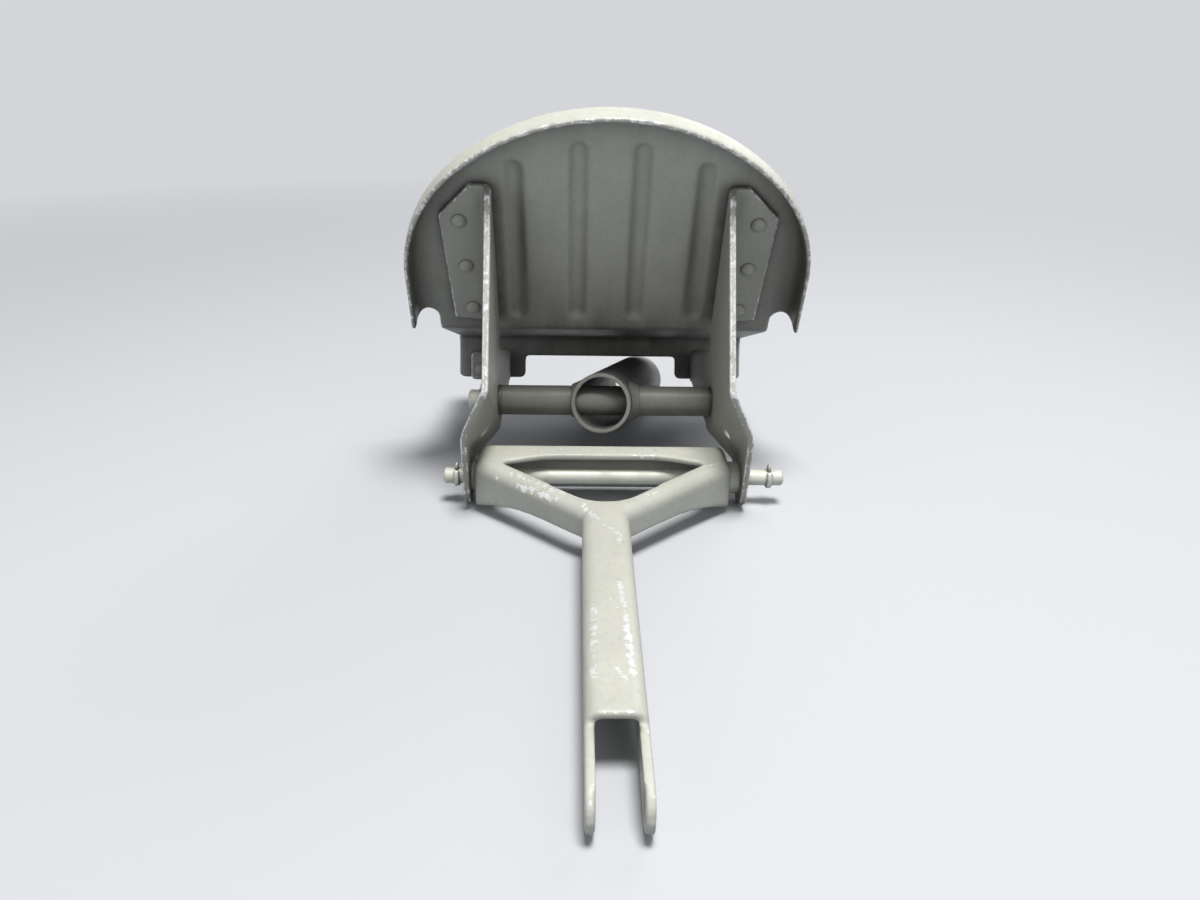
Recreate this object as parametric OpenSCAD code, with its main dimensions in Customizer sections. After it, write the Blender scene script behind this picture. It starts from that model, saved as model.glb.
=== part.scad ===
// Aircraft rudder and toe-brake pedal, one side.
// X is across the pedal, Y runs from the fork back to the arm's end, Z is up.
// Sizes are in millimetres. The origin lies on the table under the middle of the whole pedal.

/* [Foot plate] */
// outer radius of the half-moon's crown
rim_radius = 68; // [60:0.1:76]
// height of the crown's centre above the plate's lower bend, along the plate
rim_centre = 12; // [8:0.1:16]
// height above which the half-moon's sides curve in
rim_shoulder = 26; // [22:0.1:30]
// distance of the straight sides inside the crown's circle
side_inset = 6.2; // [5:0.1:8]
// height of the rim's lower ends
rim_end = 6; // [3:0.1:10]
// depth of the rim in front of the plate
rim_depth = 8.2; // [5:0.1:14]
// sheet thickness of the foot plate
plate_sheet = 1.6; // [1:0.1:2.5]
// inner radius of the rim's bend
rim_bend = 3; // [1.5:0.1:5]
// lean of the plate's top towards the front, in degrees
plate_lean = 24.4; // [10:0.1:40]
// distance of the plate's lower bend behind the link pin
plate_back = 34.8; // [28:0.1:45]
// height of the plate's lower bend above the table
plate_height = 46; // [40:0.1:55]
// half the width of the ledge and rear flange
ledge_half_width = 54; // [48:0.1:56]
// length of the ledge from the plate to the rear flange
ledge_length = 55; // [40:0.5:65]
// bend between plate and ledge, in degrees
ledge_bend = 46.9; // [30:0.1:60]
// length of the two legs below the ledge
leg_length = 15.6; // [10:0.1:20]
// half the gap between the legs
leg_half_gap = 28.6; // [24:0.1:34]
// gap between the rear flange and the arm it rests on
stop_gap = 0.35; // [0.2:0.05:2]
// distance of the inner ribs from the middle
inner_rib = 9.2; // [6:0.1:12]
// distance of the outer ribs from the middle
outer_rib = 28; // [22:0.1:31]
// height of the inner ribs' upper ends along the plate
inner_rib_top = 65.5; // [50:0.1:68]
// height of the outer ribs' upper ends along the plate
outer_rib_top = 59.5; // [45:0.1:61]
// height of the ribs' lower ends along the plate
rib_foot = 7.6; // [6:0.1:15]
// radius of the rib's groove
rib_radius = 3.6; // [2.5:0.1:5]
// depth of the rib's groove
rib_depth = 1.5; // [0.8:0.1:2]

/* [Brackets] */
// sheet thickness of the brackets
bracket_sheet = 2; // [1.5:0.1:3]
// half the distance between the bracket webs' inner faces
web_half_gap = 34.2; // [32.5:0.1:37]
// reach of the plate flange beside the web
flange_reach = 16.4; // [14:0.1:17]
// height of the plate flange's top along the plate
flange_top = 55; // [48:0.1:58]
// height of the plate flange's foot along the plate
flange_foot = 4.2; // [3:0.1:8]
// chamfer of the plate flange's top corner
flange_chamfer = 10.2; // [6:0.1:14]
// narrowing of the plate flange towards its foot
flange_taper = 2.2; // [1:0.1:5]
// web's front knee in front of the link pin
knee_front = 17.5; // [12:0.1:22]
// height of the web's front knee
knee_height = 42; // [36:0.1:48]
// reach of the rear tab beside the web
tab_reach = 15.2; // [12:0.1:18]
// depth of the rear tab's top below the ledge
tab_top = 6; // [4:0.1:8]
// outward joggle of the lug
joggle = 7.2; // [4:0.1:9]
// slope of the joggle's bend lines, in degrees
joggle_slope = 32.5; // [25:0.5:45]
// radius of the lug round the link pin
lug_radius = 8.7; // [7:0.1:10]
// diameter of the small hole in the joggle
small_hole = 4.2; // [3:0.1:5]
// diameter of the rivets' shanks
rivet_shank = 2.9; // [2:0.1:3.2]
// diameter of the rivets' heads
rivet_head = 4.6; // [3.6:0.1:5]
// height of the rivets' heads
rivet_rise = 1.1; // [0.6:0.1:1.6]

/* [Pivot and arm] */
// distance of the pivot behind the link pin
pivot_back = 20; // [16:0.1:26]
// height of the pivot above the table
pivot_height = 26.6; // [22:0.1:32]
// diameter of the pivot pin
pivot_pin_d = 6.35; // [5:0.05:6.5]
// outer diameter of the cross tube
cross_tube_d = 9.525; // [9.3:0.025:12]
// wall of the cross tube
cross_tube_wall = 0.9; // [0.7:0.05:1]
// thickness of the bush's flange
bush_flange = 0.9; // [0.6:0.05:1.5]
// outer diameter of the arm tube
arm_d = 19.05; // [16:0.05:22]
// wall of the arm tube
arm_wall = 1.2; // [0.9:0.05:2]
// depth of the seat bored in the arm's rear end
socket_depth = 25; // [10:0.5:40]
// widening of the arm's bore in the seat, on each side
socket_step = 0.275; // [0.1:0.025:0.5]
// length of the arm in front of the pivot
arm_front = 7.9; // [6.5:0.1:12]
// sideways swing of the arm, in degrees
arm_swing = 11.5; // [0:0.5:13]
// fall of the arm towards its rear end, in degrees
arm_fall = 13; // [10:0.5:16]
// diameter of the pivot washers
pivot_washer_d = 12.7; // [9:0.1:14]
// thickness of the pivot washers
pivot_washer_t = 0.8; // [0.5:0.05:1.6]
// length of the pivot pin past the left washer
pivot_pin_tail = 6.7; // [5:0.1:10]

/* [Yoke and link pin] */
// diameter of the link pin
link_pin_d = 4.7625; // [4:0.0125:5]
// link pin beyond the left lug
link_pin_left = 6.6; // [5:0.1:10]
// link pin beyond the right lug
link_pin_right = 12; // [6:0.1:14]
// sheet thickness of the yoke
yoke_sheet = 2; // [1.5:0.1:2.5]
// half the outer width of the yoke's crossbar
yoke_half_width = 38.9; // [34:0.1:43.5]
// sideways offset of the yoke between the lugs
yoke_shift = -1; // [-1.5:0.05:1.5]
// yoke's top above the link pin's axis
yoke_top = 8.2; // [6:0.1:9]
// yoke's lower edge below the link pin's axis
yoke_skirt = 6.6; // [5:0.1:8]
// arms' lower edge below the link pin's axis
arm_skirt = 1.1; // [0.5:0.1:4]
// yoke's back face behind the link pin's axis
yoke_back = 7.4; // [5.2:0.1:8]
// width of the stem and fork
stem_width = 13; // [12:0.1:16]
// distance from the link pin to the fork's bore
fork_reach = 140.2; // [110:0.1:155]
// radius of the fork's ears
ear_radius = 5.5; // [4.5:0.1:7]
// diameter of the fork's bore
fork_bore_d = 4.86; // [4:0.01:6.4]
// length of the fork's ears behind its bore
fork_slot = 15.8; // [11:0.1:24]
// length of the Y's arms along the stem
arms_length = 31; // [25:0.5:40]
// outer bend radius of the yoke's top edges
yoke_round = 3.4; // [2.1:0.1:3.6]
// distance of the window's back edge in front of the link pin
window_back = 1.9; // [1.5:0.1:5]
// inner bend radius of the stem's channel
channel_round = 1.6; // [0.5:0.1:2]
// diameter of the yoke's spacers
spacer_d = 9.9; // [8:0.1:11]

/* [Hidden] */
$fn = 48;
paint = [0.66, 0.62, 0.53];
steel = [0.72, 0.72, 0.70];
bronze = [0.65, 0.50, 0.27];
// clearances
running = 0.05;
snug = 0.02;
least_spacer = 0.8;
far = 200;
// heights and directions that follow from the sizes
link_height = lug_radius;
ledge_world = 90 - plate_lean - ledge_bend;
arm_axis = [sin(arm_swing) * cos(arm_fall), cos(arm_swing) * cos(arm_fall), -sin(arm_fall)];
arm_r = arm_d / 2;
arm_rear = (pivot_height - arm_r * cos(arm_fall)) / sin(arm_fall);
yoke_tilt = asin((link_height - ear_radius) / fork_reach);
front_y = -fork_reach * cos(yoke_tilt) - ear_radius;
rear_y = pivot_back + arm_rear * arm_axis.y + arm_r * sqrt(1 - arm_axis.y * arm_axis.y);
middle_y = (front_y + rear_y) / 2;
web_out = web_half_gap + bracket_sheet;
lug_in = max(web_half_gap + joggle, yoke_half_width + abs(yoke_shift) + least_spacer);
lug_out = lug_in + bracket_sheet;
// plate's lower bend, ledge's rear bend and the directions between, as [Y, Z]
plate_foot = [plate_back, plate_height];
ledge_dir = [cos(ledge_world), -sin(ledge_world)];
flange_dir = [-sin(ledge_world), -cos(ledge_world)];
ledge_end = plate_foot + ledge_length * ledge_dir;
// the arm's top line under the rear flange sets the flange's depth there
flange_mid = ledge_end + 0.45 * leg_length * flange_dir;
arm_top_at_flange = pivot_height - (flange_mid.x - pivot_back) * tan(arm_fall) / cos(arm_swing)
    + arm_r / cos(arm_fall);
bar_depth = (ledge_end.y - arm_top_at_flange - stop_gap) / cos(ledge_world);

// points of a polyline with rounded corners, each with its left normal
function left_of(d) = [-d.y, d.x];
function direction(a, b) = (b - a) / norm(b - a);
function turned(v, a) = [v.x * cos(a) - v.y * sin(a), v.x * sin(a) + v.y * cos(a)];
function corner(p, q, r, radius) =
    let (d1 = direction(p, q), d2 = direction(q, r), turn = atan2(cross(d1, d2), d1 * d2),
         side = sign(turn), start = q - d1 * radius * tan(abs(turn) / 2),
         centre = start + left_of(d1) * radius * side, steps = max(3, ceil(abs(turn) / 11)))
    [for (i = [0:steps]) let (n = turned(left_of(d1), turn * i / steps)) [centre - n * radius * side, n]];
function rounded_path(points, radii) =
    let (last = len(points) - 1)
    concat([[points[0], left_of(direction(points[0], points[1]))]],
           [for (i = [1:last - 1]) each corner(points[i - 1], points[i], points[i + 1], radii[i - 1])],
           [[points[last], left_of(direction(points[last - 1], points[last]))]]);
module sheet_section(points, radii, sheet) {
    path = rounded_path(points, radii);
    count = len(path);
    polygon(concat([for (q = path) q[0]],
                   [for (i = [1:count]) path[count - i][0] + path[count - i][1] * sheet]));
}
module across_x(width) {
    rotate([90, 0, 90]) linear_extrude(width, center = true) children();
}
module rod_x(x0, x1, d) {
    translate([x0, 0, 0]) rotate([0, 90, 0]) cylinder(d = d, h = x1 - x0);
}

// frames: rest() brings the origin under the middle, the others are local to a face
module rest() {
    translate([0, -middle_y, 0]) children();
}
module at_pivot() {
    translate([0, pivot_back, pivot_height]) children();
}
module at_link() {
    translate([0, 0, link_height]) children();
}
// plate frame: X across, Y up the plate, Z to the front
module on_plate() {
    translate([0, plate_foot.x, plate_foot.y]) rotate([90 + plate_lean, 0, 0]) children();
}
// rear flange frame: X across, Y down the flange, Z to the rear
module on_flange() {
    translate([0, ledge_end.x, ledge_end.y]) rotate([-90 - ledge_world, 0, 0]) children();
}
module on_arm() {
    at_pivot() rotate([0, 0, -arm_swing]) rotate([-90 - arm_fall, 0, 0]) children();
}

// rivet places: plate frame [X, Y] and flange frame [X, Y]
rivet_x = web_half_gap + 0.634 * flange_reach;
rivet_high = flange_top - 1.18 * flange_chamfer;
rivet_low = flange_foot + 0.39 * flange_reach;
plate_rivets = [[rivet_x, rivet_high], [rivet_x - flange_taper / 2, (rivet_high + rivet_low) / 2],
                [rivet_x - flange_taper, rivet_low]];
tab_rivets = [[web_half_gap + 0.46 * tab_reach, 0.59 * leg_length],
              [web_half_gap + 0.75 * tab_reach, 0.81 * leg_length]];

module rib_pair(radius, lift) {
    for (side = [-1, 1]) {
        rib(side * inner_rib, inner_rib_top, radius, lift);
        rib(side * outer_rib, outer_rib_top, radius, lift);
    }
}
module rib(x, top, radius, lift) {
    translate([x, rib_foot, lift]) {
        rotate([-90, 0, 0]) cylinder(r = radius, h = top - rib_foot, $fn = 32);
        sphere(r = radius, $fn = 32);
        translate([0, top - rib_foot, 0]) sphere(r = radius, $fn = 32);
    }
}

module rivet_holes(places, side) {
    for (p = places)
        translate([side * p.x, p.y, -5]) cylinder(d = rivet_shank + 2 * snug, h = 10, $fn = 24);
}
// one rivet along Z: head above, formed head below a grip of the two sheets
module rivet(grip) {
    rotate_extrude($fn = 24) polygon(concat(
        [[0, -grip - 0.8 * rivet_rise], [0.42 * rivet_head, -grip - 0.8 * rivet_rise],
         [rivet_head / 2, -grip - 0.4 * rivet_rise], [rivet_head / 2, -grip],
         [rivet_shank / 2, -grip], [rivet_shank / 2, 0]],
        [for (a = [0:15:75]) [rivet_head / 2 * cos(a), rivet_rise * sin(a)]],
        [[0, rivet_rise]]));
}

module pedal_plate() {
    rib_lift = rib_radius - rib_depth;
    overlap_up = 6;
    color(paint) rest() difference() {
        union() {
            // half-moon with its rim, down to the rim's ends
            on_plate() difference() {
                half_moon();
                for (side = [-1, 1]) translate([0, 0, -far / 2]) linear_extrude(far / 2 + rim_bend)
                    relief_notch(side);
            }
            // lower bend, ledge and the top of the rear flange
            on_plate() rotate([90, 0, 90]) linear_extrude(2 * ledge_half_width, center = true)
                sheet_section([[overlap_up, 0], [0, 0],
                               -ledge_length * [cos(ledge_bend), sin(ledge_bend)],
                               -ledge_length * [cos(ledge_bend), sin(ledge_bend)]
                               + 5 * [-sin(ledge_bend), cos(ledge_bend)]],
                              [4, 2], plate_sheet);
            on_flange() linear_extrude(plate_sheet) leg_outline();
            // raised side of the pressed ribs
            on_plate() intersection() {
                translate([0, 0, 0]) rib_pair(rib_radius + plate_sheet, rib_lift);
                translate([-far / 2, 0, -far]) cube([far, far, far - plate_sheet / 2]);
            }
        }
        on_plate() rib_pair(rib_radius, rib_lift);
        for (side = [-1, 1]) {
            on_plate() rivet_holes(plate_rivets, side);
            on_flange() rivet_holes(tab_rivets, side);
        }
    }
}
// arch of three arcs over straight sides, with the rim folded to the front
module rim_section(reach) {
    wall = reach - plate_sheet;
    sheet_section([[wall - rim_bend - 3, 0], [wall, 0], [wall, rim_depth]], [rim_bend], -plate_sheet);
}
moon_half = rim_radius - side_inset;
moon_rise = rim_shoulder - rim_centre;
side_radius = (rim_radius + moon_half) / 2 - moon_rise * moon_rise / (2 * side_inset);
crown = atan2(moon_half - side_radius, moon_rise);
module half_moon() {
    inset = plate_sheet + rim_bend + 1.2;
    foot = min(ledge_half_width, moon_half - inset - 0.5);
    right = [for (a = [0:3:90 - crown])
             [moon_half - side_radius, rim_shoulder] + (side_radius - inset) * [cos(a), sin(a)]];
    over = [for (i = [0:20]) let (a = 90 - crown + i * crown / 10)
            [0, rim_centre] + (rim_radius - inset) * [cos(a), sin(a)]];
    left = [for (i = [1:len(right)]) let (q = right[len(right) - i]) [-q.x, q.y]];
    translate([0, 0, -plate_sheet]) linear_extrude(plate_sheet) polygon(concat(
        [[foot, 3], [foot, rim_end], [moon_half - inset, rim_end]], right, over, left,
        [[inset - moon_half, rim_end], [-foot, rim_end], [-foot, 3]]));
    translate([0, rim_centre, 0]) rotate([0, 0, 90 - crown])
        rotate_extrude(angle = 2 * crown, $fn = 120) rim_section(rim_radius);
    for (side = [0, 1]) mirror([side, 0, 0]) {
        translate([moon_half - side_radius, rim_shoulder, 0])
            rotate_extrude(angle = 90 - crown, $fn = 120) rim_section(side_radius);
        translate([0, rim_shoulder, 0]) rotate([90, 0, 0]) linear_extrude(rim_shoulder - rim_end)
            rim_section(moon_half);
    }
}
// bend relief between the rim's end and the plate's lower edge
module relief_notch(side) {
    rim_inside = moon_half - plate_sheet;
    half = max(1.2, (rim_inside + 0.6 - ledge_half_width) / 2);
    translate([side * (rim_inside + 0.6 - half), rim_end + 2 - half]) {
        circle(r = half);
        translate([-half, -far]) square([2 * half, far]);
    }
}
// rear flange seen from behind: crossbar with two legs
module leg_outline() {
    offset(r = 1.7) offset(delta = -1.7) difference() {
        translate([-ledge_half_width, 2.6]) square([2 * ledge_half_width, leg_length - 2.6]);
        translate([-leg_half_gap, bar_depth]) square([2 * leg_half_gap, far]);
    }
    translate([-ledge_half_width, 2.6]) square([2 * ledge_half_width, bar_depth - 5]);
}

// bracket on the +X side
module bracket() {
    bend_out = bracket_sheet + 1.6;
    difference() {
        union() {
            intersection() {
                web_ribbon();
                across_x(far) web_outline();
            }
            // flange on the plate
            on_plate() intersection() {
                rotate([90, 0, 0]) translate([0, 0, -60]) linear_extrude(60) sheet_section(
                    [[60, snug], [web_half_gap, snug], [web_half_gap, bend_out + 1]],
                    [bend_out], -bracket_sheet);
                linear_extrude(far, center = true) plate_flange_outline();
            }
            // tab on the rear leg
            on_flange() intersection() {
                rotate([90, 0, 0]) translate([0, 0, -60]) linear_extrude(60) sheet_section(
                    [[60, -snug], [web_half_gap, -snug], [web_half_gap, -bend_out - 1]],
                    [bend_out], bracket_sheet);
                linear_extrude(far, center = true) tab_outline();
            }
        }
        at_pivot() rod_x(0, far, pivot_pin_d + 2 * running);
        at_link() rod_x(0, far, link_pin_d + 2 * running);
        translate([0, 5.5, 22]) rod_x(0, far, small_hole);
        on_plate() translate([0, flange_top, -far / 2]) cube([far, far, far]);
        on_plate() rivet_holes(plate_rivets, 1);
        on_flange() rivet_holes(tab_rivets, 1);
    }
}
// web with the joggle out to the lug
module web_ribbon() {
    run = 11;
    begin = 7.2;
    at_pivot() rotate([-joggle_slope, 0, 0]) rotate([90, 0, 0]) linear_extrude(far, center = true)
        sheet_section([[web_half_gap, far], [web_half_gap, -begin],
                       [lug_in, -begin - run], [lug_in, -far]],
                      [5, 5], bracket_sheet);
}
// side view of the web, as [Y, Z]
module web_outline() {
    bend_out = bracket_sheet + 1.6;
    plate_up = [-sin(plate_lean), cos(plate_lean)];
    plate_front = [-cos(plate_lean), -sin(plate_lean)];
    under_ledge = 1.2;
    near_plate = plate_foot + bend_out * plate_front;
    near_flange = ledge_end - bend_out * ledge_dir;
    offset(r = 2) offset(delta = -2) union() {
        polygon([near_plate + (flange_top + 5) * plate_up,
                 near_plate + (flange_top + 1) * plate_up + 2.6 * plate_front,
                 near_plate + (flange_top - 3) * plate_up + 5.2 * plate_front,
                 [-knee_front, knee_height],
                 [-lug_radius, link_height],
                 [0, link_height],
                 [lug_radius * cos(50), link_height - lug_radius * sin(50) + 4],
                 [pivot_back + 8, pivot_height - 11],
                 near_flange + leg_length * flange_dir,
                 near_flange + 5.6 * flange_dir,
                 near_flange + (plate_sheet + under_ledge) * flange_dir + [-6, 0],
                 near_plate + 3 * plate_front - 2 * plate_up,
                 near_plate + 3 * plate_up]);
        translate([0, link_height]) circle(r = lug_radius, $fn = 64);
    }
}
module plate_flange_outline() {
    edge = web_half_gap + flange_reach;
    polygon([[web_half_gap - 1, flange_foot], [edge - flange_taper, flange_foot + flange_taper],
             [edge, flange_top - flange_chamfer], [edge - 0.94 * flange_chamfer, flange_top],
             [web_half_gap - 1, flange_top]]);
}
module tab_outline() {
    offset(r = 1.6) offset(delta = -1.6)
        translate([web_half_gap - 6, tab_top]) square([tab_reach + 6, leg_length - tab_top + 1]);
}
module right_bracket() {
    color(paint) rest() bracket();
}
module left_bracket() {
    color(paint) rest() mirror([1, 0, 0]) bracket();
}

module plate_rivet_set(side) {
    on_plate() for (p = plate_rivets)
        translate([side * p.x, p.y, bracket_sheet + 2 * snug])
            rivet(bracket_sheet + plate_sheet + 3 * snug);
}
module tab_rivet_set(side) {
    on_flange() for (p = tab_rivets)
        translate([side * p.x, p.y, -bracket_sheet - 2 * snug]) mirror([0, 0, 1])
            rivet(bracket_sheet + plate_sheet + 3 * snug);
}
module left_plate_rivets() {
    color(paint) rest() plate_rivet_set(-1);
}
module right_plate_rivets() {
    color(paint) rest() plate_rivet_set(1);
}
module left_tab_rivets() {
    color(paint) rest() tab_rivet_set(-1);
}
module right_tab_rivets() {
    color(paint) rest() tab_rivet_set(1);
}

module arm_tube() {
    bore = arm_d - 2 * arm_wall;
    color(paint) rest() difference() {
        union() {
            on_arm() translate([0, 0, -arm_front]) cylinder(d = arm_d, h = arm_front + arm_rear, $fn = 72);
            // weld fillets round the cross tube
            at_pivot() for (side = [-1, 1]) rotate([0, side * 90, 0]) translate([0, 0, arm_r - 2.2])
                cylinder(d1 = cross_tube_d + 4, d2 = cross_tube_d + 0.9, h = 3.4);
        }
        on_arm() translate([0, 0, -far]) cylinder(d = bore, h = 2 * far, $fn = 72);
        on_arm() translate([0, 0, arm_rear - socket_depth])
            cylinder(d = bore + 2 * socket_step, h = far, $fn = 72);
        at_pivot() rod_x(-far, far, cross_tube_d + 2 * snug);
    }
}
module cross_tube() {
    half = web_half_gap - bush_flange - 0.1;
    color(paint) rest() at_pivot() difference() {
        rod_x(-half, half, cross_tube_d);
        rod_x(-far, far, cross_tube_d - 2 * cross_tube_wall);
    }
}
module bush() {
    half = web_half_gap - bush_flange - 0.1;
    length = 12;
    difference() {
        union() {
            rod_x(half - length, half + bush_flange, cross_tube_d - 2 * cross_tube_wall - 2 * snug);
            rod_x(half + snug, half + bush_flange, cross_tube_d);
        }
        rod_x(0, far, pivot_pin_d + 2 * running);
    }
}
module right_pivot_bush() {
    color(bronze) rest() at_pivot() bush();
}
module left_pivot_bush() {
    color(bronze) rest() at_pivot() mirror([1, 0, 0]) bush();
}

washer_in = web_out + snug;
washer_out = washer_in + pivot_washer_t;
pivot_cotter_x = -washer_out - 2.6;
cotter_d = 1.6;
module pivot_pin() {
    color(steel) rest() at_pivot() difference() {
        union() {
            rod_x(-washer_out - pivot_pin_tail + 0.6, washer_out + 1, pivot_pin_d);
            translate([-washer_out - pivot_pin_tail, 0, 0]) rotate([0, 90, 0])
                cylinder(d1 = pivot_pin_d - 1.2, d2 = pivot_pin_d, h = 0.6);
            rod_x(washer_out + snug, washer_out + 2.4, 1.6 * pivot_pin_d);
            translate([washer_out + 2.4, 0, 0]) rotate([0, 90, 0])
                cylinder(d1 = 1.6 * pivot_pin_d, d2 = 1.6 * pivot_pin_d - 1, h = 0.5);
        }
        translate([pivot_cotter_x, 0, -far]) cylinder(d = cotter_d + 2 * running, h = 2 * far, $fn = 24);
    }
}
module pivot_washer() {
    difference() {
        rod_x(washer_in, washer_out, pivot_washer_d);
        rod_x(0, far, pivot_pin_d + 2 * running);
    }
}
module right_pivot_washer() {
    color(steel) rest() at_pivot() pivot_washer();
}
module left_pivot_washer() {
    color(steel) rest() at_pivot() mirror([1, 0, 0]) pivot_washer();
}
// split pin along Z through a pin along X: low eye above, half-round legs wrapped back round the pin
module split_pin(pin_d) {
    leg = cotter_d / 2;
    half = 0.56 * cotter_d;
    inside = pin_d / 2 + 0.08;
    wrap = 140;
    cylinder(d = cotter_d, h = 2 * inside + leg, center = true, $fn = 24);
    translate([0, 0, inside + 0.7]) rotate([0, 90, 0]) rotate_extrude($fn = 32)
        translate([0.85, 0]) circle(d = 1.1 * leg, $fn = 16);
    for (side = [-1, 1]) rotate([0, 90, 0]) rotate([0, 0, side > 0 ? 0 : -wrap])
        rotate_extrude(angle = wrap, $fn = 48) translate([inside, 0])
            polygon([[0, -half], [0.55 * leg, -half], [leg, -0.55 * half],
                     [leg, 0.55 * half], [0.55 * leg, half], [0, half]]);
}
module pivot_cotter() {
    color(steel) rest() at_pivot() translate([pivot_cotter_x, 0, 0]) split_pin(pivot_pin_d);
}

link_left = -lug_out - link_pin_left;
link_right = lug_out + link_pin_right;
left_cotter_x = -lug_out - 2.6;
right_cotter_x = lug_out + 7.6;
module link_pin() {
    color(steel) rest() at_link() difference() {
        union() {
            rod_x(link_left + 0.5, link_right - 0.5, link_pin_d);
            translate([link_left, 0, 0]) rotate([0, 90, 0])
                cylinder(d1 = link_pin_d - 1, d2 = link_pin_d, h = 0.5);
            translate([link_right - 0.5, 0, 0]) rotate([0, 90, 0])
                cylinder(d1 = link_pin_d, d2 = link_pin_d - 1, h = 0.5);
        }
        for (x = [left_cotter_x, right_cotter_x])
            translate([x, 0, -far]) cylinder(d = cotter_d + 2 * running, h = 2 * far, $fn = 24);
    }
}
module left_link_cotter() {
    color(steel) rest() at_link() translate([left_cotter_x, 0, 0]) split_pin(link_pin_d);
}
module right_link_cotter() {
    color(steel) rest() at_link() translate([right_cotter_x, 0, 0]) split_pin(link_pin_d);
}

yoke_left = yoke_shift - yoke_half_width;
yoke_right = yoke_shift + yoke_half_width;
side_play = 0.1;
module spacer(x0, x1) {
    difference() {
        rod_x(x0, x1, spacer_d);
        rod_x(-far, far, link_pin_d + 2 * running);
    }
}
module left_yoke_spacer() {
    color(steel) rest() at_link() spacer(-lug_in + side_play, yoke_left - snug);
}
module right_yoke_spacer() {
    color(steel) rest() at_link() spacer(yoke_right + snug, lug_in - side_play);
}

// plan of the yoke with its link pin at the origin, fork towards -Y, run anticlockwise
stem_half = stem_width / 2;
side_front = -7.5;
crotch = side_front - arms_length;
corner_round = 5;
plan_front = -fork_reach - 2 * ear_radius;
slot_end = -fork_reach + fork_slot;
hollow_front = crotch - 6;
yoke_plan = rounded_path(
    [[0, yoke_back], [-yoke_half_width, yoke_back], [-yoke_half_width, side_front],
     [-stem_half, crotch], [-stem_half, hollow_front], [stem_half, hollow_front],
     [stem_half, crotch], [yoke_half_width, side_front], [yoke_half_width, yoke_back], [0, yoke_back]],
    [corner_round, 4, 2, 3, 3, 2, 4, corner_round]);
module yoke_inside() {
    polygon([for (i = [0:len(yoke_plan) - 2]) yoke_plan[i][0] + yoke_plan[i][1] * yoke_sheet]);
}
// hollow of the stem, open at the fork, a hair narrower than the hollow of the arms
module stem_inside() {
    half = stem_half - yoke_sheet - snug;
    pressed_bar([-half, crotch + 2], [-half, plan_front - 5], 2 * half, true, 18, channel_round,
                yoke_top - yoke_sheet - snug);
}
// triangular window between the arms
module yoke_window() {
    tip = [yoke_half_width - 7.7, side_front + 0.6];
    bow = 0.45 * yoke_half_width;
    window = rounded_path([[0, -window_back], [-bow, -window_back], [-tip.x, tip.y], [0, crotch + 0.7],
                           tip, [bow, -window_back], [0, -window_back]], [20, 1.5, 12, 1.5, 20]);
    polygon([for (i = [0:len(window) - 2]) window[i][0]]);
}
// section across a pressed bar, from its outer face at 0 to its full width, top edge rounded
module bar_section(width, both, step, round, top) {
    turn = [for (a = [0:step:90]) round * [1 - cos(a), sin(a) - 1]];
    back = [for (a = [90:-step:0]) [width, 0] + round * [cos(a) - 1, sin(a) - 1]];
    foot = -top - yoke_skirt - 1;
    far_edge = both ? back : [[width, 0]];
    translate([0, top]) polygon(concat([[0, foot]], turn, far_edge, [[width, foot]]));
}
// bar whose outer face runs from p to q, with its width to the left
module pressed_bar(p, q, width, both = false, step = 15, round = yoke_round, top = yoke_top) {
    d = direction(p, q);
    translate([p.x, p.y, 0]) rotate([0, 0, atan2(d.y, d.x)]) rotate([90, 0, 90])
        linear_extrude(norm(q - p)) bar_section(width, both, step, round, top);
}
module yoke_blank() {
    arm_from = [-yoke_half_width, side_front];
    arm_to = [-stem_half, crotch];
    arm_dir = direction(arm_from, arm_to);
    spare = 3;
    end = yoke_half_width + spare;
    pressed_bar([-stem_half, crotch + 10], [-stem_half, plan_front], stem_width, true, 18);
    intersection() {
        pressed_bar([end, yoke_back], [-end, yoke_back], yoke_back - side_front - spare / 2);
        end_bar(spare);
    }
    for (side = [0, 1]) mirror([side, 0, 0]) intersection() {
        pressed_bar(arm_from - spare * arm_dir, arm_to + 5 * arm_dir, 14);
        end_bar(spare);
    }
}
// bar from back to front that trims and rounds both ends of the crossbar
module end_bar(spare) {
    pressed_bar([-yoke_half_width, yoke_back + spare], [-yoke_half_width, plan_front - spare],
                2 * yoke_half_width, true, 22.5);
}
// rounds the crossbar's back corner at -X
module corner_cutter() {
    difference() {
        translate([-yoke_half_width - 1, yoke_back - corner_round, -far / 2])
            cube([corner_round + 1, corner_round + 1, far]);
        translate([corner_round - yoke_half_width, yoke_back - corner_round, -far])
            cylinder(r = corner_round, h = 2 * far);
    }
}
module yoke() {
    color(paint) rest() at_link() translate([yoke_shift, 0, 0]) rotate([yoke_tilt, 0, 0]) difference() {
        intersection() {
            yoke_blank();
            union() {
                translate([0, -fork_reach, 0]) rod_x(-far / 2, far / 2, 2 * ear_radius);
                across_x(far) yoke_side();
            }
        }
        corner_cutter();
        mirror([1, 0, 0]) corner_cutter();
        translate([0, 0, -far]) linear_extrude(far + yoke_top - yoke_sheet) yoke_inside();
        linear_extrude(far) yoke_window();
        stem_inside();
        rod_x(-far, far, link_pin_d + 2 * running);
        translate([0, -fork_reach, 0]) rod_x(-far, far, fork_bore_d);
    }
}
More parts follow.
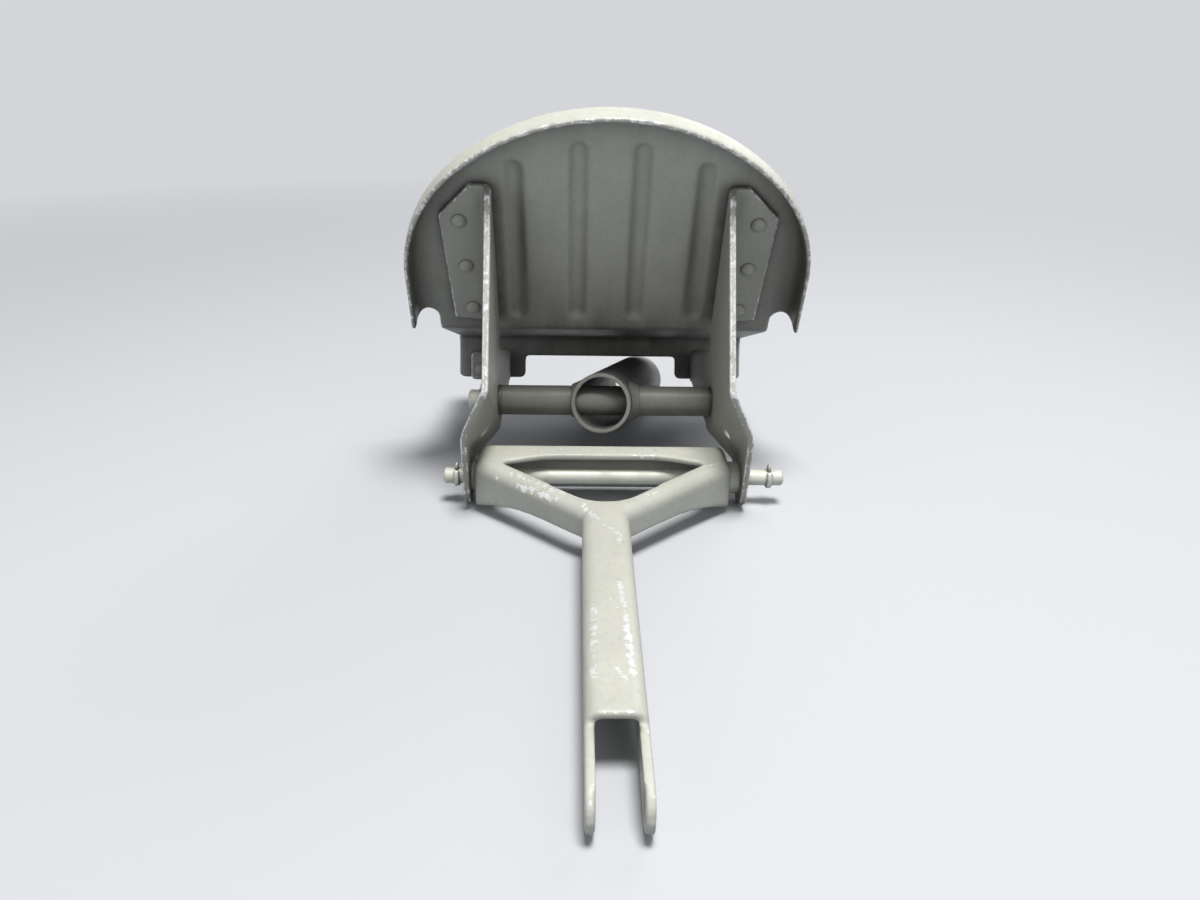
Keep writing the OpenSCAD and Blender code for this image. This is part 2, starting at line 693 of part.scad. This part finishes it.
// side view of the yoke, as [Y, Z]: deep at the crossbar, shallow arms, stem deepening to the fork's ears
module yoke_side() {
    sweep = 0.63 * arms_length;
    polygon(concat([[-fork_reach, -ear_radius], [crotch, -arm_skirt]],
                   [for (i = [6:-1:0]) let (t = i / 6)
                    [side_front - sweep * t, -arm_skirt - (yoke_skirt - arm_skirt) * (1 - t) * (1 - t)]],
                   [[far, -yoke_skirt], [far, yoke_top + 1], [slot_end, yoke_top + 1],
                    [slot_end, ear_radius], [-fork_reach, ear_radius]]));
}

arm_tube();
cross_tube();
left_pivot_bush();
right_pivot_bush();
pedal_plate();
left_bracket();
right_bracket();
left_plate_rivets();
right_plate_rivets();
left_tab_rivets();
right_tab_rivets();
pivot_pin();
left_pivot_washer();
right_pivot_washer();
pivot_cotter();
link_pin();
left_link_cotter();
right_link_cotter();
left_yoke_spacer();
right_yoke_spacer();
yoke();
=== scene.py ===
"""Looks of the rudder pedal: worn khaki paint, plated pins, soft studio light."""

import math

import bpy
import numpy as np
from mathutils import Matrix, Vector


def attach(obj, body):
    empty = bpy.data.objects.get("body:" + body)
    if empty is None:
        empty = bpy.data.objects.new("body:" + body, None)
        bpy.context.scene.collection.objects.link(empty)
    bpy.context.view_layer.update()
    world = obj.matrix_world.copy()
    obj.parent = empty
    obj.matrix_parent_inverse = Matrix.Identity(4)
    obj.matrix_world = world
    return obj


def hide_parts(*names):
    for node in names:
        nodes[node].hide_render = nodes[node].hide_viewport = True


MM = 0.001

# colours as screen values 0-255
KHAKI = (206, 206, 193)
# the arm and cross tube wear the same khaki paint, darkened here as painted shade and dirt
ARM_SHADED_GREY = (176, 176, 162)
TUBE_SHADED_GREY = (144, 146, 132)
# darken wide hollows: painted shade together with foot dirt
SOIL_AND_SHADE_BROWN = (72, 68, 61)
SOIL_AND_SHADE_GREY = (62, 62, 69)
# darkens tight corners: painted shade together with dirt
CORNER_SHADE_AND_DIRT = (58, 54, 46)
OIL_DIRT_AND_SHADE = (52, 49, 42)
RUST = (150, 128, 98)
CHIP_BRIGHT = (244, 244, 242)
CHIP_DULL = (224, 225, 222)
PALE_DISTANCE = (212, 213, 216)
PAPER_SEEN = (202, 203, 206)
PAPER_BOUNCE = (120, 124, 134)

# how far painted shade with dirt, wear and soft edges reach
HOLLOW_REACH = 60 * MM
CORNER_REACH = 6 * MM
PIN_CORNER_REACH = 3 * MM
EDGE_REACH = 1.1 * MM
PAINT_ROUNDING = 0.5 * MM
PIN_ROUNDING = 0.3 * MM

# paint chips where ragged noise passes a limit, which edges lower and hollows raise
SOUND_LIMIT = 0.86
EDGE_LOSS = 0.4
HOLLOW_SHELTER = 0.13
UNRUBBED_LIMIT = 0.8
RUBBED_LIMIT = 0.46

# a skin's ridge is how far it bulges from a much softer copy of itself
RIDGE_PASSES = 30
FULL_RIDGE = 0.4 * MM

# the middle part of a worn stroke, as a share of its width, that is worn in full
STROKE_CORE = 0.3

# stretch that turns noise into rings round a pin lying along X
TURNING_MARKS = (6.0, 0.4, 0.4)

CAMERA_PLACE = (-0.00993, -0.26011, 0.136085)
CAMERA_DOWN = math.radians(22.584)
CAMERA_TURN = math.radians(-1.629)
CAMERA_ROLL = math.radians(1.107)

LIT_MIDDLE = (0, 0.02, 0.04)
COOL_LIGHT = (0.94, 0.97, 1.0)
SKY_LIGHT = (0.9, 0.95, 1.0, 1)
SKY_STRENGTH = 0.17

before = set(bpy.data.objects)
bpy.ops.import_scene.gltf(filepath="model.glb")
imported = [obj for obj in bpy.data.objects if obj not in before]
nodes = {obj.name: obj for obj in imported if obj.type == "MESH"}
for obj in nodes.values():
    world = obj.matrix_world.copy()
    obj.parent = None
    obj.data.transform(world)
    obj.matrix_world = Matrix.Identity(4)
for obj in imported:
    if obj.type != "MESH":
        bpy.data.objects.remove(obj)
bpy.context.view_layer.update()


def linear(red, green, blue):
    """A colour given as screen values 0-255, as the shader's own values."""
    values = []
    for value in (red, green, blue):
        value /= 255
        values.append(value / 12.92 if value <= 0.04045 else ((value + 0.055) / 1.055) ** 2.4)
    return (*values, 1.0)


class Shader:
    """A small helper that builds one material's node tree."""

    def __init__(self, name):
        self.material = bpy.data.materials.new(name)
        self.material.use_nodes = True
        self.tree = self.material.node_tree
        self.surface = self.tree.nodes["Principled BSDF"]
        self.where = self.add("ShaderNodeTexCoord").outputs["Object"]

    def add(self, kind, **settings):
        """A new node with these settings."""
        node = self.tree.nodes.new(kind)
        for key, value in settings.items():
            setattr(node, key, value)
        return node

    def feed(self, socket, value):
        """Links another node's output to the socket, or sets a plain value on it."""
        if isinstance(value, bpy.types.NodeSocket):
            self.tree.links.new(value, socket)
        else:
            socket.default_value = value

    def noise(self, scale, detail=3.0, roughness=0.55, stretch=None):
        """Noise over the part's own place, if asked for stretched along its axes."""
        node = self.add("ShaderNodeTexNoise")
        where = self.where
        if stretch:
            mapping = self.add("ShaderNodeMapping")
            mapping.inputs["Scale"].default_value = stretch
            self.feed(mapping.inputs["Vector"], where)
            where = mapping.outputs["Vector"]
        self.feed(node.inputs["Vector"], where)
        node.inputs["Scale"].default_value = scale
        node.inputs["Detail"].default_value = detail
        node.inputs["Roughness"].default_value = roughness
        return node.outputs["Fac"]

    def spread(self, value, low, high, out_low=0.0, out_high=1.0):
        """The value's range from low to high, spread over the range from out_low to out_high."""
        node = self.add("ShaderNodeMapRange")
        node.clamp = True
        self.feed(node.inputs["Value"], value)
        self.feed(node.inputs["From Min"], low)
        self.feed(node.inputs["From Max"], high)
        self.feed(node.inputs["To Min"], out_low)
        self.feed(node.inputs["To Max"], out_high)
        return node.outputs["Result"]

    def calc(self, kind, a, b):
        """One step of arithmetic."""
        node = self.add("ShaderNodeMath", operation=kind)
        self.feed(node.inputs[0], a)
        self.feed(node.inputs[1], b)
        return node.outputs[0]

    def mix(self, factor, a, b):
        """Colour a, turning into colour b as the factor rises."""
        node = self.add("ShaderNodeMix", data_type="RGBA")
        self.feed(node.inputs["Factor"], factor)
        self.feed(node.inputs["A"], a)
        self.feed(node.inputs["B"], b)
        return node.outputs["Result"]

    def bevel(self, radius):
        """The surface's normal, rounded over sharp edges."""
        node = self.add("ShaderNodeBevel", samples=6)
        node.inputs["Radius"].default_value = radius
        return node.outputs["Normal"]

    def edges(self, radius):
        """Near 0 on flat faces, rising to 1 along sharp edges."""
        node = self.add("ShaderNodeVectorMath", operation="DOT_PRODUCT")
        self.feed(node.inputs[0], self.bevel(radius))
        self.feed(node.inputs[1], self.add("ShaderNodeNewGeometry").outputs["True Normal"])
        return self.spread(node.outputs["Value"], 0.998, 0.9)

    def kept(self, name):
        """A value that the mesh keeps at its vertices."""
        return self.add("ShaderNodeAttribute", attribute_name=name).outputs["Fac"]

    def crevice(self, distance, shut=0.35, clear=0.95):
        """1 deep in a corner and 0 in the open, looking as far as the distance."""
        node = self.add("ShaderNodeAmbientOcclusion", samples=8)
        node.inputs["Distance"].default_value = distance
        return self.spread(node.outputs["AO"], shut, clear, 1.0, 0.0)

    def relief(self, height, strength, depth, below):
        """Fine bumps on the surface, over the rounded normal below if there is one."""
        bump = self.add("ShaderNodeBump")
        bump.inputs["Strength"].default_value = strength
        bump.inputs["Distance"].default_value = depth
        self.feed(bump.inputs["Height"], height)
        if below:
            self.feed(bump.inputs["Normal"], below)
        self.feed(self.surface.inputs["Normal"], bump.outputs["Normal"])


def mottled(s, tone, speckle):
    """Paint in uneven patches with dusty specks."""
    darker = linear(*(0.92 * value for value in tone))
    dust = linear(*(0.82 * value for value in tone))
    patches = s.noise(scale=28, detail=4)
    colour = s.mix(s.spread(patches, 0.3, 0.7), darker, linear(*tone))
    return s.mix(s.spread(speckle, 0.5, 0.75, 0.0, 0.45), colour, dust)


def streaked_hollow(s):
    """How deep in a wide hollow a place is, from 0 to 1, broken by streaks."""
    streaks = s.noise(scale=60, detail=5, roughness=0.6, stretch=(1.0, 0.25, 0.25))
    depth = s.crevice(HOLLOW_REACH)
    return s.calc("MULTIPLY", depth, s.spread(streaks, 0.35, 0.65, 0.6, 1.0))


def soiled_and_shaded(s, colour, hollow, hollow_shade_and_soil):
    """Foot dirt of two kinds and painted shade, darkening the colour over the wide hollow."""
    kind = s.spread(s.noise(scale=22, detail=4), 0.4, 0.6)
    soil_and_shade_colour = s.mix(kind, linear(*SOIL_AND_SHADE_BROWN), linear(*SOIL_AND_SHADE_GREY))
    return s.mix(s.calc("MULTIPLY", hollow, hollow_shade_and_soil), colour, soil_and_shade_colour)


def shaded_dirty_corners(s, colour, corner_shade_and_dirt):
    """Painted shade and dark dirt in the tight corners, darkening the colour where the surface is
    occluded.
    """
    uneven = s.spread(s.noise(scale=150, detail=4), 0.25, 0.7, 0.5, 1.0)
    shade_and_dirt = s.calc("MULTIPLY", s.crevice(CORNER_REACH, 0.45, 0.98), uneven)
    return s.mix(s.calc("MULTIPLY", shade_and_dirt, corner_shade_and_dirt), colour, linear(*CORNER_SHADE_AND_DIRT))


def edge_chips(s, edge, edge_wear, hollow):
    """1 where the paint is chipped off an edge, which is seldom in a hollow."""
    ragged = s.noise(scale=520, detail=6, roughness=0.68)
    limit = s.spread(edge, 0.15, 0.9, SOUND_LIMIT, SOUND_LIMIT - EDGE_LOSS * edge_wear)
    sheltered = s.calc("MULTIPLY", hollow, HOLLOW_SHELTER)
    return s.calc("GREATER_THAN", ragged, s.calc("ADD", limit, sheltered))


def stroke_chips(s, wear):
    """1 where the paint is rubbed off along the worn strokes."""
    ragged = s.noise(scale=560, detail=6, roughness=0.68)
    return s.calc("GREATER_THAN", ragged, s.spread(wear, 0.0, 1.0, UNRUBBED_LIMIT, RUBBED_LIMIT))


def rusty(s, colour, wear):
    """A faint brown stain in places along the worn strokes."""
    stain = s.spread(s.noise(scale=240, detail=4), 0.56, 0.66, 0.0, 0.3)
    return s.mix(s.calc("MULTIPLY", s.spread(wear, 0.2, 0.9), stain), colour, linear(*RUST))


def painted(name, tone, edge_wear, corner_shade_and_dirt, skin=True, hollow_shade_and_soil=0.0):
    """Satin khaki paint, mottled, darkened in the corners and hollows by painted shade and dirt, and
    chipped to bright metal.

    On a skin the chips follow its kept ridge and wear; on a plain solid, its sharp edges.
    """
    s = Shader(name)
    speckle = s.noise(scale=620, detail=3, roughness=0.7)
    hollow = streaked_hollow(s)
    colour = mottled(s, tone, speckle)
    colour = soiled_and_shaded(s, colour, hollow, hollow_shade_and_soil)
    colour = shaded_dirty_corners(s, colour, corner_shade_and_dirt)
    edge = s.kept("ridge") if skin else s.edges(EDGE_REACH)
    chip = edge_chips(s, edge, edge_wear, hollow)
    if skin:
        wear = s.kept("wear")
        chip = s.calc("MAXIMUM", chip, stroke_chips(s, wear))
        colour = rusty(s, colour, wear)
    metal = s.mix(s.spread(speckle, 0.35, 0.7), linear(*CHIP_BRIGHT), linear(*CHIP_DULL))
    s.feed(s.surface.inputs["Base Color"], s.mix(chip, colour, metal))
    s.feed(s.surface.inputs["Metallic"], s.calc("MULTIPLY", chip, 0.25))
    rough = s.spread(s.noise(scale=90, detail=4), 0.3, 0.7, 0.42, 0.56)
    s.feed(s.surface.inputs["Roughness"], s.calc("SUBTRACT", rough, s.calc("MULTIPLY", chip, 0.1)))
    grain = s.calc("MULTIPLY", s.noise(scale=900, detail=2), 0.35)
    height = s.calc("SUBTRACT", grain, s.calc("MULTIPLY", chip, 0.6))
    rounded = None if skin else s.bevel(PAINT_ROUNDING)
    s.relief(height, strength=0.12, depth=0.4 * MM, below=rounded)
    return s.material


def bare_metal(name, tone, dull, rough, metallic, turned=None):
    """Plated steel or bronze with faint turning marks, smudges, dull spots, and painted shade with oil
    dirt in the tight corners.
    """
    s = Shader(name)
    smudge = s.spread(s.noise(scale=140, detail=5, roughness=0.6), 0.35, 0.7)
    colour = s.mix(smudge, linear(*tone), linear(*dull))
    # painted shade with oil dirt: darker where the tight corners close in
    shade_and_dirt = s.calc("MULTIPLY", s.crevice(PIN_CORNER_REACH), 0.55)
    colour = s.mix(shade_and_dirt, colour, linear(*OIL_DIRT_AND_SHADE))
    s.feed(s.surface.inputs["Base Color"], colour)
    s.surface.inputs["Metallic"].default_value = metallic
    s.feed(s.surface.inputs["Roughness"], s.calc("ADD", s.calc("MULTIPLY", smudge, 0.14), rough))
    marks = s.noise(scale=700, detail=3, roughness=0.6, stretch=turned)
    s.relief(marks, strength=0.1, depth=0.2 * MM, below=s.bevel(PIN_ROUNDING))
    return s.material


def rows(items, key, width, kind=float):
    """One row of numbers for each vertex, edge or normal of a mesh."""
    values = np.empty(width * len(items), dtype=kind)
    items.foreach_get(key, values)
    return values.reshape(-1, width)


def eased(places, edges, passes):
    """Vertex places after each has moved halfway to the mean of its neighbours, some times over."""
    count = len(places)
    first, second = edges.T
    shared = np.bincount(edges.ravel(), minlength=count)
    for _ in range(passes):
        mean = np.empty_like(places)
        for axis in range(3):
            value = places[:, axis]
            total = np.bincount(first, value[second], count) + np.bincount(second, value[first], count)
            mean[:, axis] = total / shared
        places = places + 0.5 * (mean - places)
    return places


def keep(mesh, name, values):
    """Stores one number at each vertex, for the shader to read."""
    mesh.attributes.new(name, "FLOAT", "POINT").data.foreach_set("value", values)


def wear_at(places, strokes):
    """The amount of wear along the core of each stroke, fading to 0 a full width outside it."""
    wear = np.zeros(len(places))
    for start, end, width, amount in strokes:
        start = np.array(start) * MM
        along = np.array(end) * MM - start
        share = np.clip((places - start) @ along / (along @ along), 0, 1)
        away = np.linalg.norm(places - start - share[:, None] * along, axis=1)
        wear = np.maximum(wear, amount * np.clip(1 + STROKE_CORE - away / (width * MM), 0, 1))
    return wear


def rebuilt(node, cell):
    """A new object with the node's shape, rebuilt in small even cells."""
    skin = bpy.data.objects.new(node + "_skin", nodes[node].data.copy())
    bpy.context.scene.collection.objects.link(skin)
    cells = skin.modifiers.new("cells", "REMESH")
    cells.mode = "VOXEL"
    cells.voxel_size = cell
    shaped = skin.evaluated_get(bpy.context.evaluated_depsgraph_get())
    mesh = bpy.data.meshes.new_from_object(shaped)
    skin.modifiers.clear()
    skin.data = mesh
    return skin


def pressed_skin(node, body, cell, passes, finish, strokes=()):
    """Stands for a sheet-metal node with the soft edges of a pressing.

    The node is rebuilt and eased. The skin keeps where it bulges and is rubbed, for the paint's wear.
    """
    skin = rebuilt(node, cell)
    mesh = skin.data
    edges = rows(mesh.edges, "vertices", 2, np.int64)
    places = eased(rows(mesh.vertices, "co", 3), edges, passes)
    mesh.vertices.foreach_set("co", places.ravel())
    mesh.update()
    mesh.polygons.foreach_set("use_smooth", np.ones(len(mesh.polygons), dtype=bool))
    normals = rows(mesh.vertex_normals, "vector", 3)
    bulge = ((places - eased(places, edges, RIDGE_PASSES)) * normals).sum(axis=1)
    keep(mesh, "ridge", np.clip(bulge / FULL_RIDGE, 0, 1))
    keep(mesh, "wear", wear_at(places, strokes))
    mesh.materials.clear()
    mesh.materials.append(finish)
    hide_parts(node)
    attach(skin, body)


# the corner and hollow amounts below paint shade as well as dirt into the colour
plate_paint = painted("plate_paint", KHAKI, edge_wear=0.85, corner_shade_and_dirt=0.8, hollow_shade_and_soil=0.85)
bracket_paint = painted("bracket_paint", KHAKI, edge_wear=1.15, corner_shade_and_dirt=0.6, hollow_shade_and_soil=0.5)
yoke_paint = painted("yoke_paint", KHAKI, edge_wear=0.7, corner_shade_and_dirt=0.5)
rivet_paint = painted("rivet_paint", KHAKI, edge_wear=0.5, corner_shade_and_dirt=0.5, skin=False, hollow_shade_and_soil=0.4)
arm_paint = painted("arm_paint", ARM_SHADED_GREY, edge_wear=0.6, corner_shade_and_dirt=0.85, skin=False, hollow_shade_and_soil=0.85)
tube_paint = painted("tube_paint", TUBE_SHADED_GREY, edge_wear=0.4, corner_shade_and_dirt=0.7, skin=False, hollow_shade_and_soil=0.6)
pin_steel = bare_metal("pin_steel", tone=(222, 223, 209), dull=(204, 204, 190),
                       rough=0.45, metallic=0.15, turned=TURNING_MARKS)
wire_steel = bare_metal("wire_steel", tone=(204, 205, 196), dull=(172, 170, 158),
                        rough=0.38, metallic=0.5)
bush_bronze = bare_metal("bush_bronze", tone=(108, 100, 84), dull=(82, 77, 66),
                         rough=0.45, metallic=0.5, turned=TURNING_MARKS)

finishes = {
    "arm_tube": arm_paint,
    "cross_tube": tube_paint,
    "pivot_pin": pin_steel,
    "pivot_cotter": wire_steel,
    "link_pin": pin_steel,
}
paired_finishes = {
    "pivot_bush": bush_bronze,
    "plate_rivets": rivet_paint,
    "tab_rivets": rivet_paint,
    "pivot_washer": wire_steel,
    "link_cotter": wire_steel,
    "yoke_spacer": pin_steel,
}
for side in ("left", "right"):
    for part, finish in paired_finishes.items():
        finishes[side + "_" + part] = finish
for name, finish in finishes.items():
    nodes[name].data.materials.clear()
    nodes[name].data.materials.append(finish)

# where boots and tools have rubbed the yoke: start, end and width in mm, and how much
left_arm_wear = [
    ((-28, 10, 16.5), (-17, -1, 16.3), 2.6, 0.82),
    ((-17, -1, 16.3), (-9, -6, 16.3), 1.5, 1.0),
    ((-26, 4, 14.5), (-16, -5, 15.0), 2.6, 0.86),
    ((-33, 10.5, 11), (-32.5, 10.4, 14.5), 0.8, 0.95),
]
crotch_wear = [
    ((-7.5, -10, 15.9), (-3.5, -19, 15.9), 1.5, 0.95),
    ((-1.5, -22.8, 15.8), (1.5, -27, 15.7), 0.9, 1.0),
    ((1.5, -27, 15.7), (2.5, -32, 15.6), 1.4, 1.0),
]
stem_wear = [
    ((1, -51, 15.2), (2, -62, 15.0), 1.2, 0.95),
    ((2, -64, 14.8), (2.6, -87, 14.3), 1.3, 1.0),
    ((-1, -59, 15.0), (0.3, -62.5, 14.9), 1.2, 0.8),
    ((-0.8, -85.4, 14.4), (1.2, -89.5, 14.3), 0.9, 1.0),
    ((-5, -61, 14.7), (-5.5, -88, 14.0), 1.6, 0.85),
]
right_arm_wear = [
    ((5.5, -7.5, 16.2), (14, -2.5, 16.2), 1.0, 0.9),
    ((29, 14.4, 16.7), (34.5, 17.6, 16.7), 1.1, 1.0),
]
crossbar_wear = [
    ((11, 22.6, 16.2), (16, 23.5, 16.8), 1.2, 0.9),
    ((-27, 26.5, 16.9), (26, 26.5, 16.9), 1.2, 0.65),
]
yoke_wear = left_arm_wear + crotch_wear + stem_wear + right_arm_wear + crossbar_wear

pressed_skin("yoke", "yoke", cell=0.42 * MM, passes=7, finish=yoke_paint, strokes=yoke_wear)
pressed_skin("pedal_plate", "pedal", cell=0.55 * MM, passes=8, finish=plate_paint)
for side in ("left", "right"):
    pressed_skin(side + "_bracket", "pedal", cell=0.4 * MM, passes=6, finish=bracket_paint)


def make_camera():
    """A camera where the photograph was taken from."""
    data = bpy.data.cameras.new("camera")
    data.sensor_width = 36
    data.lens = 30
    data.clip_start = 0.01
    data.clip_end = 50
    camera = bpy.data.objects.new("camera", data)
    bpy.context.scene.collection.objects.link(camera)
    level = Vector((math.cos(CAMERA_TURN), math.sin(CAMERA_TURN), 0))
    ahead = Vector((-math.sin(CAMERA_TURN), math.cos(CAMERA_TURN), 0))
    forward = ahead * math.cos(CAMERA_DOWN) - Vector((0, 0, math.sin(CAMERA_DOWN)))
    above = level.cross(forward)
    right = level * math.cos(CAMERA_ROLL) + above * math.sin(CAMERA_ROLL)
    up = above * math.cos(CAMERA_ROLL) - level * math.sin(CAMERA_ROLL)
    turned = Matrix((right, up, -forward)).transposed().to_4x4()
    camera.matrix_world = Matrix.Translation(CAMERA_PLACE) @ turned
    bpy.context.scene.camera = camera


def seen_rays(tree):
    """1 or more for the rays that show a background: straight, mirrored or through glass."""
    path = tree.nodes.new("ShaderNodeLightPath").outputs
    total = path["Is Camera Ray"]
    for kind in ("Is Glossy Ray", "Is Transmission Ray"):
        adder = tree.nodes.new("ShaderNodeMath")
        tree.links.new(total, adder.inputs[0])
        tree.links.new(path[kind], adder.inputs[1])
        total = adder.outputs[0]
    return total


def floor_paper():
    """Paper that looks pale, returns little light to the object and stays pale into the distance."""
    near, far = 0.25, 0.8
    s = Shader("floor_paper")
    seen = s.calc("GREATER_THAN", seen_rays(s.tree), 0.5)
    s.feed(s.surface.inputs["Base Color"], s.mix(seen, linear(*PAPER_BOUNCE), linear(*PAPER_SEEN)))
    s.surface.inputs["Roughness"].default_value = 0.8
    away = s.add("ShaderNodeVectorMath", operation="LENGTH")
    s.feed(away.inputs[0], s.where)
    glow = s.add("ShaderNodeEmission")
    glow.inputs["Color"].default_value = linear(*PALE_DISTANCE)
    blend = s.add("ShaderNodeMixShader")
    s.feed(blend.inputs[0], s.calc("MULTIPLY", seen, s.spread(away.outputs["Value"], near, far)))
    s.feed(blend.inputs[1], s.surface.outputs[0])
    s.feed(blend.inputs[2], glow.outputs[0])
    s.feed(s.tree.nodes["Material Output"].inputs["Surface"], blend.outputs[0])
    return s.material


def make_stage():
    """A pale floor, a hair below the part, that curves up into a backdrop."""
    half_width = 4.0
    front, bend_start, wall_top = -3.0, 0.9, 3.0
    bend_radius, bend_steps = 0.5, 10
    drop = 0.2 * MM
    profile = [(front, 0.0), (bend_start, 0.0)]
    for step in range(1, bend_steps + 1):
        angle = math.radians(90 * step / bend_steps)
        back = bend_start + bend_radius * math.sin(angle)
        profile.append((back, bend_radius - bend_radius * math.cos(angle)))
    profile.append((bend_start + bend_radius, wall_top))
    points = [(x, y, z - drop) for y, z in profile for x in (-half_width, half_width)]
    faces = [(2 * i, 2 * i + 1, 2 * i + 3, 2 * i + 2) for i in range(len(profile) - 1)]
    mesh = bpy.data.meshes.new("floor")
    mesh.from_pydata(points, [], faces)
    mesh.polygons.foreach_set("use_smooth", [True] * len(faces))
    floor = bpy.data.objects.new("floor", mesh)
    bpy.context.scene.collection.objects.link(floor)
    mesh.materials.append(floor_paper())


def make_world():
    """A weak even sky for light, seen as the same pale distance as the floor's."""
    world = bpy.data.worlds.new("studio")
    world.use_nodes = True
    tree = world.node_tree
    light = tree.nodes["Background"]
    light.inputs["Color"].default_value = SKY_LIGHT
    light.inputs["Strength"].default_value = SKY_STRENGTH
    pale = tree.nodes.new("ShaderNodeBackground")
    pale.inputs["Color"].default_value = linear(*PALE_DISTANCE)
    blend = tree.nodes.new("ShaderNodeMixShader")
    tree.links.new(seen_rays(tree), blend.inputs[0])
    tree.links.new(light.outputs[0], blend.inputs[1])
    tree.links.new(pale.outputs[0], blend.inputs[2])
    tree.links.new(blend.outputs[0], tree.nodes["World Output"].inputs["Surface"])
    bpy.context.scene.world = world


def add_light(name, place, size, power, colour=(1, 1, 1)):
    """A soft rectangular lamp, aimed at the middle of the part."""
    data = bpy.data.lights.new(name, "AREA")
    data.shape = "RECTANGLE"
    data.size, data.size_y = size
    data.energy = power
    data.color = colour
    light = bpy.data.objects.new(name, data)
    bpy.context.scene.collection.objects.link(light)
    light.location = place
    light.rotation_mode = "QUATERNION"
    light.rotation_quaternion = (Vector(LIT_MIDDLE) - Vector(place)).to_track_quat("-Z", "Y")


def make_light():
    """A key from above, weak fills from the front and left, and a weak lamp behind."""
    add_light("key", place=(0.1, -0.2, 1.1), size=(0.35, 0.35), power=13.5)
    add_light("fill", place=(0.25, -0.8, 0.45), size=(0.8, 0.6), power=1.2, colour=COOL_LIGHT)
    add_light("side", place=(-0.55, -0.5, 0.28), size=(0.5, 0.4), power=0.6, colour=COOL_LIGHT)
    add_light("back", place=(0.45, 0.75, 0.55), size=(0.5, 0.5), power=2.2)


make_camera()
make_stage()
make_world()
make_light()
bpy.context.scene.view_settings.view_transform = "Standard"
